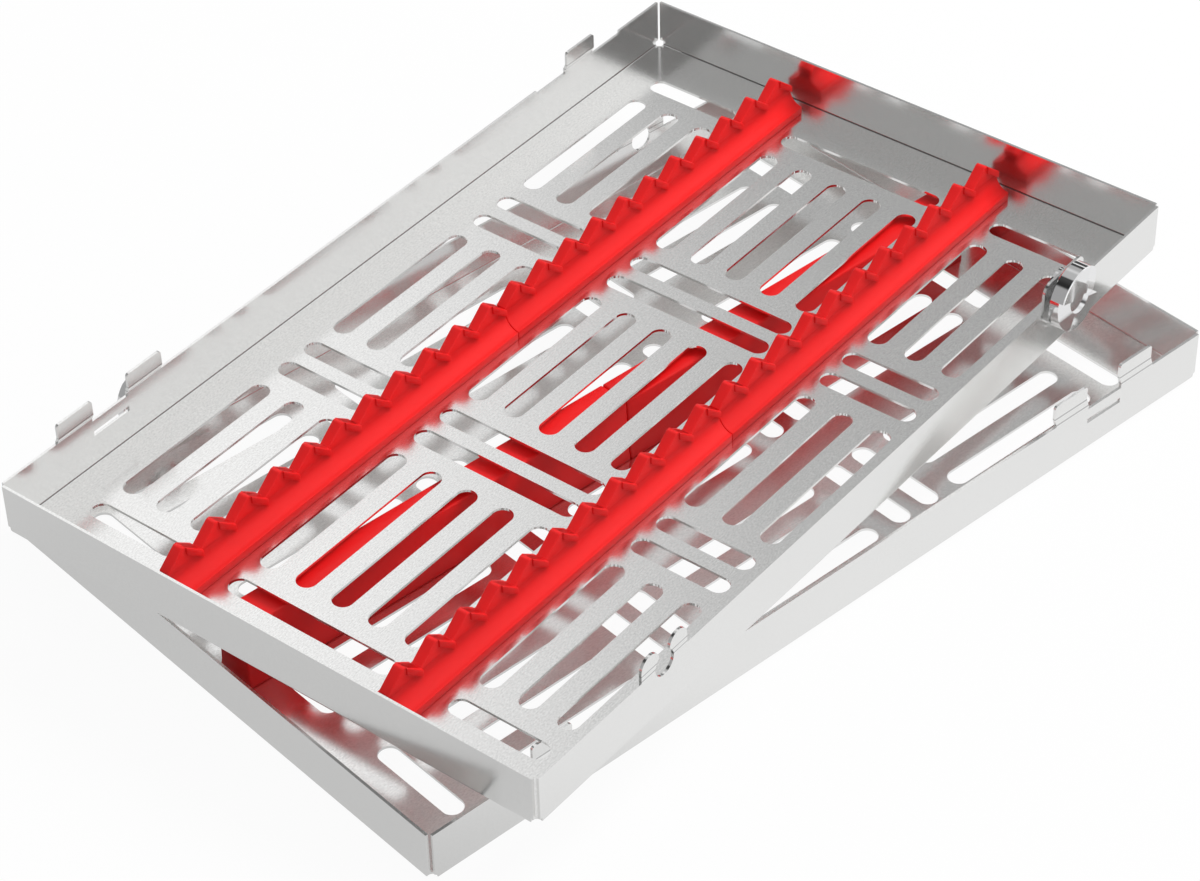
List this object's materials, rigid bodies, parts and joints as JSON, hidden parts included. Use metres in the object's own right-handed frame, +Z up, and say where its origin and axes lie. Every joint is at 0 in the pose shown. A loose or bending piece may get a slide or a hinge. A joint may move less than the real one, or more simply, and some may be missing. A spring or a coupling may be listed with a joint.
{
  "type": "dental instrument cassette",
  "caption": "Two perforated steel trays of a dental instrument cassette, shown apart: toothed silicone rails in the upper half, a silicone hold-down bar in the lower, turn latches.",
  "frame": {"origin": "middle of the lower tray's underside, on the surface that it stands on", "axes": "+X along the lower tray, away from its catch lug's end towards its pair of hinge tabs; +Y towards its latch wall; +Z up"},
  "size_m": [0.312, 0.2264, 0.0483],
  "materials": {
    "brushed_steel": "satin, fine grain along the length",
    "polished_steel": "mirror",
    "spring_steel": "satin",
    "red_silicone": "soft sheen"
  },
  "bodies": {
    "lower_half": {"lower_tray": "brushed_steel", "lower_latch_plate": "brushed_steel", "hold_bar_strip": "brushed_steel", "hold_bar_left": "red_silicone", "hold_bar_right": "red_silicone"},
    "lower_latch": {"lower_knob": "polished_steel", "lower_wave_washer": "spring_steel", "lower_keyed_disc": "polished_steel", "lower_latch_screw": "polished_steel"},
    "upper_half": {"upper_tray": "brushed_steel", "upper_latch_plate": "brushed_steel", "rail_strip_hinge_side": "brushed_steel", "rail_strip_latch_side": "brushed_steel", "rail_hinge_left": "red_silicone", "rail_hinge_right": "red_silicone", "rail_latch_left": "red_silicone", "rail_latch_right": "red_silicone"},
    "upper_latch": {"upper_knob": "polished_steel", "upper_wave_washer": "spring_steel", "upper_keyed_disc": "polished_steel", "upper_latch_screw": "polished_steel"}
  },
  "joints": [
    {"name": "upper_half_lift", "type": "slide", "parent": "lower_half", "child": "upper_half", "axis": [0, 0, 1], "range_m": [0, 0.05]},
    {"name": "lower_latch_turn", "type": "hinge", "parent": "lower_half", "child": "lower_latch", "pos_m": [-0.092, 0.09, 0.0158], "axis": [0, 1, 0], "range_deg": [-40, 50]},
    {"name": "upper_latch_turn", "type": "hinge", "parent": "upper_half", "child": "upper_latch", "pos_m": [0.10573, -0.06986, 0.0386], "axis": [0.1736, -0.9848, 0], "range_deg": [-40, 50]}
  ]
}
